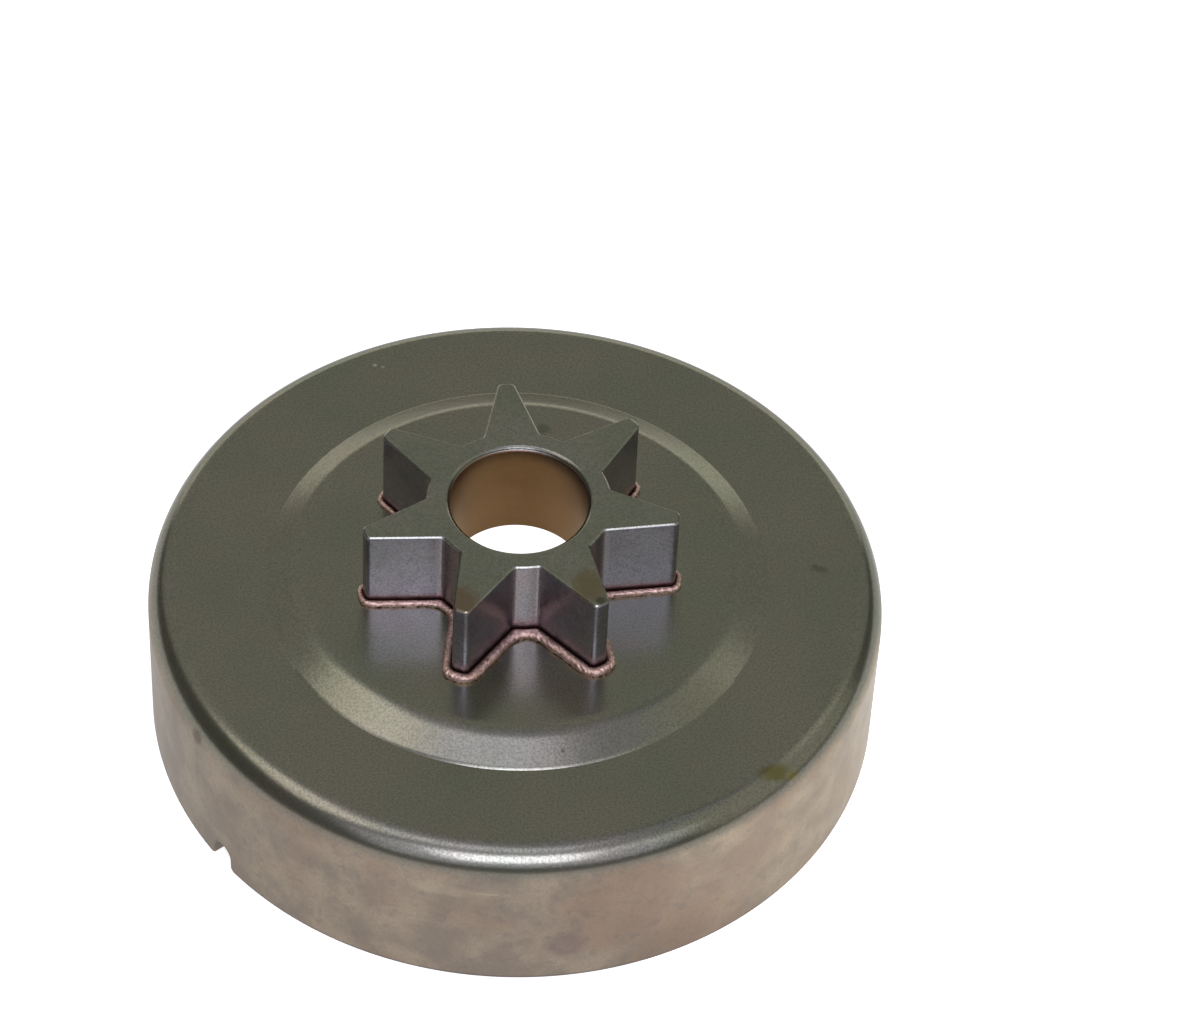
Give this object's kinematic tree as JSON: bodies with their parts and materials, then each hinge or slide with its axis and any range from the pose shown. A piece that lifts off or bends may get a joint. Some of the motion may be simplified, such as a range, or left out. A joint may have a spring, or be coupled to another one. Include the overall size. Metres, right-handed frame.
{
  "type": "chainsaw sprocket",
  "caption": "Clutch drum drawn from sheet steel with a toothed spur sprocket brazed to its face, bored for a needle cage, that drives a saw's chain.",
  "frame": {"origin": "on the drum's axis, in the plane of its rim", "axes": "+Z along the axis towards the sprocket's free end, +Y along one tooth"},
  "size_m": [0.07, 0.07, 0.0276],
  "materials": {
    "drum_steel": "satin, olive-grey heat tint from brazing",
    "sprocket_steel": "satin, hardened",
    "braze_copper": "grainy copper filler"
  },
  "bodies": {
    "root": {"clutch_drum": "drum_steel", "spur_sprocket": "sprocket_steel", "braze_bead": "braze_copper"}
  },
  "joints": []
}
